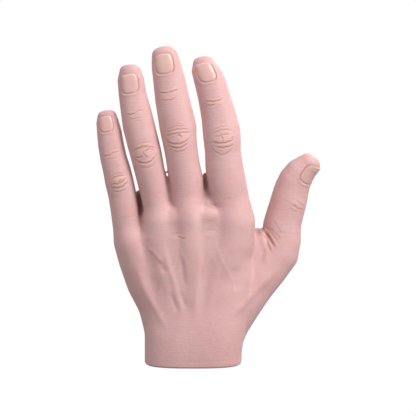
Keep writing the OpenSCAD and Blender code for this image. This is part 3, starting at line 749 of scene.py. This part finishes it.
# Colours and shares of the painted highlight, of the folds' brown with painted shade, and of the painted shade between
# the digits
BLOTCHINESS, HIGHLIGHT_SHARE, FOLD_SHARE, VALLEY_SHADE_SHARE = 0.55, 0.5, 0.72, 0.8
FOLD_BROWN_AND_SHADE, HIGHLIGHT_SKIN, VALLEY_SHADE_BROWN = (0.44, 0.16, 0.085), (0.82, 0.60, 0.54), (0.16, 0.055, 0.035)
skin, nodes, links, shader = fresh_material("skin_silicone_cast", 0.5)


def tag_of(name, output="Fac"):
    node = nodes.new("ShaderNodeAttribute")
    node.attribute_name = name
    return node.outputs[output]


colour = mottled(nodes, links, SKIN, SKIN_BLOTCH, BLOTCHINESS)
# Over the mottle: the painted highlight, the folds' brown with painted shade, and the painted shade between the digits
for tag, share, tint in (("pale", HIGHLIGHT_SHARE, HIGHLIGHT_SKIN), ("fold", FOLD_SHARE, FOLD_BROWN_AND_SHADE),
                         ("deep", VALLEY_SHADE_SHARE, VALLEY_SHADE_BROWN)):
    colour = mixed(nodes, links, sum_of(nodes, links, "MULTIPLY", tag_of(tag), share), colour, tint)
links.new(colour, shader.inputs["Base Color"])
place = nodes.new("ShaderNodeTexCoord").outputs["Object"]
# Fine lines run across the backs of the digits, and cross at a slant on the back of the hand
across = nodes.new("ShaderNodeMapping")
links.new(tag_of("lie", "Vector"), across.inputs["Vector"])
across.inputs["Scale"].default_value = (0.1, 0.85, 1)
digit_lines = noise_of(nodes, links, across.outputs["Vector"], 1.0, 3, 0.6)
slants = []
for turn in (28, -34):
    slant = nodes.new("ShaderNodeMapping")
    links.new(place, slant.inputs["Vector"])
    slant.inputs["Rotation"].default_value = (0, math.radians(turn), 0)
    slant.inputs["Scale"].default_value = (180, 900, 900)
    slants.append(noise_of(nodes, links, slant.outputs["Vector"], 1.0, 2, 0.5))
hand_lines = sum_of(nodes, links, "MINIMUM", *slants)
pores = nodes.new("ShaderNodeTexVoronoi")
pores.inputs["Scale"].default_value = 1250
links.new(place, pores.inputs["Vector"])
lines = sum_of(nodes, links, "MULTIPLY", digit_lines, tag_of("digit"))
heights = sum_of(nodes, links, "ADD", lines, sum_of(nodes, links, "MULTIPLY", hand_lines, 0.8))
heights = sum_of(nodes, links, "ADD", heights, sum_of(nodes, links, "MULTIPLY", pores.outputs["Distance"], 0.35))
bumped(nodes, links, shader, heights, 0.35, 0.5)
grain = noise_of(nodes, links, place, 300, 3)
links.new(sum_of(nodes, links, "MULTIPLY_ADD", grain, 0.22), shader.inputs["Roughness"])
shader.inputs["Roughness"].links[0].from_node.inputs[2].default_value = 0.42
let_light_in(shader, 0.22, (1.0, 0.32, 0.2), 3.5)
shader.inputs["Specular IOR Level"].default_value = 0.35
for piece in sleeves.values():
    piece.data.materials.clear()
    piece.data.materials.append(skin)

# ---------------- the nails
# Each nail is a thin separate plate of acrylic, curved over the fingertip and glued into its bed.
# Its edges sit down in the folds round it, and its end stands a little free of the fingertip.
NAIL_THICK = 0.45
NAIL_GRID = (26, 30)
FLAT_FROM = 0.45            # past this share of its length a nail leaves the fingertip's curve and runs on
NAIL_PEACH, NAIL_BLOTCH = (0.67, 0.405, 0.37), (0.64, 0.36, 0.335)
NAIL_END, NAIL_ROOT = (0.77, 0.55, 0.51), (0.68, 0.43, 0.40)


def nail_plate(name):
    digit, (side_mid, way_mid) = digit_frames[name], nail_places[name]
    _, _, wide, long = NAILS[name]
    across, along, palmar = digit.across[1], digit.along[1], digit.palmar[1]
    bpy.ops.object.select_all(action="DESELECT")
    bpy.ops.mesh.primitive_grid_add(x_subdivisions=NAIL_GRID[0], y_subdivisions=NAIL_GRID[1], size=2)
    piece = bpy.context.object
    piece.name = piece.data.name = name + "_nail_plate"

    def surface(a, b):
        side, way = side_mid + a * wide / 2, way_mid + b * long / 2
        spot = digit.middle + across * (side + float(np.interp(way, *digit.curve))) + along * way
        hit = smooth_skin.ray_cast((spot - palmar * 25) * MM, palmar)[0]
        return hit / MM if hit else spot

    axis_spots = {b: surface(0, b) for b in (FLAT_FROM - 0.4, FLAT_FROM)}
    slope = (axis_spots[FLAT_FROM] - axis_spots[FLAT_FROM - 0.4]) / 0.4
    shape = bmesh.new()
    shape.from_mesh(piece.data)
    tip_tag, side_tag = shape.verts.layers.float.new("nail_way"), shape.verts.layers.float.new("nail_side")
    for v in shape.verts:
        a, b = v.co.xy
        v[tip_tag], v[side_tag] = b, a
        flat = max(abs(a), abs(b))
        round_norm = (abs(a) ** NAIL_SQUARE + abs(b) ** NAIL_SQUARE) ** (1 / NAIL_SQUARE)
        pull = flat / round_norm if round_norm else 1
        pa, pb = a * pull * 0.985, b * pull * 0.985
        spot = surface(pa, min(pb, FLAT_FROM))
        if pb > FLAT_FROM:
            past = pb - FLAT_FROM
            spot = spot + slope * past + palmar * (past * past * long * 0.1)
        side_edge, root_edge = (float(ease(np.array(v_at), 0.86, 1)) for v_at in (abs(a), -b))
        lift = 0.3 - 0.15 * pa * pa - 0.3 * side_edge - 0.4 * root_edge
        v.co = (spot - palmar * lift) * MM
    shape.normal_update()
    if sum((f.normal.dot(palmar) for f in shape.faces)) > 0:
        bmesh.ops.reverse_faces(shape, faces=shape.faces)
    shape.to_mesh(piece.data)
    shape.free()
    plate = piece.modifiers.new("thickness", "SOLIDIFY")
    plate.thickness, plate.offset = NAIL_THICK * MM, -1
    bpy.ops.object.modifier_apply(modifier=plate.name)
    edge = piece.modifiers.new("edge", "BEVEL")
    edge.width, edge.segments, edge.limit_method, edge.angle_limit = 0.12 * MM, 2, "ANGLE", math.radians(50)
    bpy.ops.object.modifier_apply(modifier=edge.name)
    bpy.ops.object.shade_smooth_by_angle(angle=math.radians(50))
    return piece


nail, nodes, links, shader = fresh_material("nail_acrylic_plate", 0.28)
colour = mottled(nodes, links, NAIL_PEACH, NAIL_BLOTCH, 0.4)
end_line = ramp_of(nodes, links, tag_of("nail_way"), 0.86, 0.97)
root_moon = ramp_of(nodes, links, tag_of("nail_way"), -0.55, -0.85)
colour = mixed(nodes, links, sum_of(nodes, links, "MULTIPLY", root_moon, 0.35), colour, NAIL_ROOT)
colour = mixed(nodes, links, sum_of(nodes, links, "MULTIPLY", end_line, 0.75), colour, NAIL_END)
links.new(colour, shader.inputs["Base Color"])
streaks = nodes.new("ShaderNodeMapping")
combined = nodes.new("ShaderNodeCombineXYZ")
links.new(tag_of("nail_side"), combined.inputs["X"])
links.new(tag_of("nail_way"), combined.inputs["Y"])
links.new(combined.outputs["Vector"], streaks.inputs["Vector"])
streaks.inputs["Scale"].default_value = (14, 0.6, 1)
bumped(nodes, links, shader, noise_of(nodes, links, streaks.outputs["Vector"], 1.0, 2), 0.05, 0.6)
let_light_in(shader, 0.15, (1.0, 0.35, 0.2), 2)
for name in DIGITS:
    piece = nail_plate(name)
    piece.data.materials.append(nail)
    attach(piece, f"{name}_distal")
    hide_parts(f"{name}_nail")

# ---------------- the inner hand and the wrist fitting
# Milled alloy links and palm frame turn on steel pins; the wrist end is a nylon block round a turned steel adapter.
# Foam cores fill the palm. Only the wrist end shows, from below; the rest shows when the skin is off.
worked, given, made = shader_group("Worked surface",
                                   [("Colour", "NodeSocketColor"), ("Worn colour", "NodeSocketColor"),
                                    ("Scale", "NodeSocketFloat"), ("Stretch", "NodeSocketVector")],
                                   [("Colour", "NodeSocketColor"), ("Roughness", "NodeSocketFloat"),
                                    ("Height", "NodeSocketFloat")])
stretched = worked.nodes.new("ShaderNodeVectorMath")
stretched.operation = "MULTIPLY"
worked.links.new(worked.nodes.new("ShaderNodeTexCoord").outputs["Object"], stretched.inputs[0])
worked.links.new(given.outputs["Stretch"], stretched.inputs[1])
marks = worked.nodes.new("ShaderNodeTexNoise")
marks.inputs["Detail"].default_value = 4
worked.links.new(given.outputs["Scale"], marks.inputs["Scale"])
worked.links.new(stretched.outputs["Vector"], marks.inputs["Vector"])
wear = ramp_of(worked.nodes, worked.links, marks.outputs["Fac"], 0.35, 0.7)
worked.links.new(mixed(worked.nodes, worked.links, wear, given.outputs["Colour"], given.outputs["Worn colour"]),
                 made.inputs["Colour"])
worked.links.new(marks.outputs["Fac"], made.inputs["Height"])
rough = sum_of(worked.nodes, worked.links, "MULTIPLY_ADD", marks.outputs["Fac"], 0.3)
rough.node.inputs[2].default_value = 0.22
worked.links.new(rough, made.inputs["Roughness"])


def worked_material(name, colour, worn, scale, stretch, metallic=0.0, height=0.05, worn_rough=True):
    """A material of the worked surface; with worn_rough its roughness follows the wear."""
    material, nodes, links, shader = fresh_material(name, 0.7)
    node = nodes.new("ShaderNodeGroup")
    node.node_tree = worked
    node.inputs["Colour"].default_value, node.inputs["Worn colour"].default_value = (*colour, 1), (*worn, 1)
    node.inputs["Scale"].default_value, node.inputs["Stretch"].default_value = scale, stretch
    links.new(node.outputs["Colour"], shader.inputs["Base Color"])
    if worn_rough:
        links.new(node.outputs["Roughness"], shader.inputs["Roughness"])
    bumped(nodes, links, shader, node.outputs["Height"], height)
    shader.inputs["Metallic"].default_value = metallic
    return material


INNER_FINISHES = {
    "alloy": (worked_material("milled_alloy", (0.62, 0.63, 0.64), (0.52, 0.53, 0.55), 900, (1, 0.2, 1), 1),
              ["palm_frame", "thumb_bracket"]
              + [f"{name}_{part}_link" for name in DIGITS for part in ("proximal", "distal")]),
    "steel": (worked_material("turned_steel", (0.55, 0.55, 0.56), (0.43, 0.43, 0.45), 700, (0.25, 0.25, 4), 1, 0.03),
              ["knuckle_pins", "thumb_root_pin", "wrist_screws", "thumb_bracket_screws", "wrist_plate",
               "wrist_adapter", "wave_spring"] + [name + "_middle_pin" for name in DIGITS]),
    "nylon": (worked_material("black_nylon", (0.035, 0.035, 0.038), (0.06, 0.06, 0.062), 1400, (1, 1, 1), 0, 0.08,
                              False),
              ["wrist_block"]),
    "fibre": (worked_material("friction_fibre", (0.22, 0.13, 0.08), (0.30, 0.19, 0.11), 2200, (1, 1, 1), 0, 0.1,
                              False),
              ["friction_washer"]),
    "foam": (worked_material("foam_core", (0.66, 0.50, 0.42), (0.56, 0.40, 0.33), 800, (1, 1, 1), 0, 0.4, False),
             ["dorsal_core", "palmar_core"]),
}
for material, names in INNER_FINISHES.values():
    for name in names:
        for slot in frame["nodes"][name].material_slots:
            slot.material = material

# ---------------- the light, the floor and the camera
# A pale floor, a large soft light from the upper right, a weaker one from the left and one from behind,
# with pale light all round. The room and the floor look plain white from the camera.
BACK_WHITE = (1, 1, 1)
scene = bpy.context.scene
scene.view_settings.view_transform = "Standard"
centre = Vector((9.1, 0, 95.5)) * MM
world = bpy.data.worlds.new("pale_room")
scene.world = world
world.use_nodes = True
nodes, links = world.node_tree.nodes, world.node_tree.links
room = nodes["Background"]
room.inputs["Color"].default_value, room.inputs["Strength"].default_value = (1, 0.985, 0.985, 1), 0.59
seen = nodes.new("ShaderNodeBackground")
seen.inputs["Color"].default_value, seen.inputs["Strength"].default_value = (*BACK_WHITE, 1), 1
choice, path = nodes.new("ShaderNodeMixShader"), nodes.new("ShaderNodeLightPath")
links.new(path.outputs["Is Camera Ray"], choice.inputs["Fac"])
links.new(room.outputs["Background"], choice.inputs[1])
links.new(seen.outputs["Background"], choice.inputs[2])
links.new(choice.outputs["Shader"], nodes["World Output"].inputs["Surface"])

floor_white, nodes, links, shader = fresh_material("floor_pale", 0.9, (0.26, 0.26, 0.26))
glow, choice, path = (nodes.new("ShaderNode" + kind) for kind in ("Emission", "MixShader", "LightPath"))
glow.inputs["Color"].default_value = (*BACK_WHITE, 1)
links.new(path.outputs["Is Camera Ray"], choice.inputs["Fac"])
links.new(shader.outputs["BSDF"], choice.inputs[1])
links.new(glow.outputs["Emission"], choice.inputs[2])
links.new(choice.outputs["Shader"], nodes["Material Output"].inputs["Surface"])
bpy.ops.object.select_all(action="DESELECT")
bpy.ops.mesh.primitive_plane_add(size=60)
floor = bpy.context.object
floor.name = "floor"
floor.data.materials.append(floor_white)


def soft_light(name, spot, size, power, colour):
    lamp = bpy.data.lights.new(name, "AREA")
    lamp.shape, lamp.size, lamp.energy, lamp.color = "DISK", size, power, colour
    holder = bpy.data.objects.new(name, lamp)
    scene.collection.objects.link(holder)
    holder.location = centre + Vector(spot)
    holder.rotation_euler = (-Vector(spot)).to_track_quat("-Z", "Y").to_euler()


soft_light("key", (0.58, -0.46, 0.68), 0.45, 9.6, (1, 0.98, 0.97))
soft_light("fill", (-0.7, -1, 0.5), 0.9, 2.5, (0.98, 0.98, 1))
soft_light("back", (0.5, 1, 0.6), 0.8, 9, (1, 0.99, 0.98))

EYE_DISTANCE, EYE_RAISE = 1.2, math.radians(8)
camera = bpy.data.cameras.new("camera")
camera.lens, camera.sensor_width, camera.clip_end = 171, 36, 100
eye = bpy.data.objects.new("camera", camera)
scene.collection.objects.link(eye)
eye.location = centre + Vector((0, -math.cos(EYE_RAISE), math.sin(EYE_RAISE))) * EYE_DISTANCE
eye.rotation_euler = (math.radians(90) - EYE_RAISE, 0, 0)
scene.camera = eye
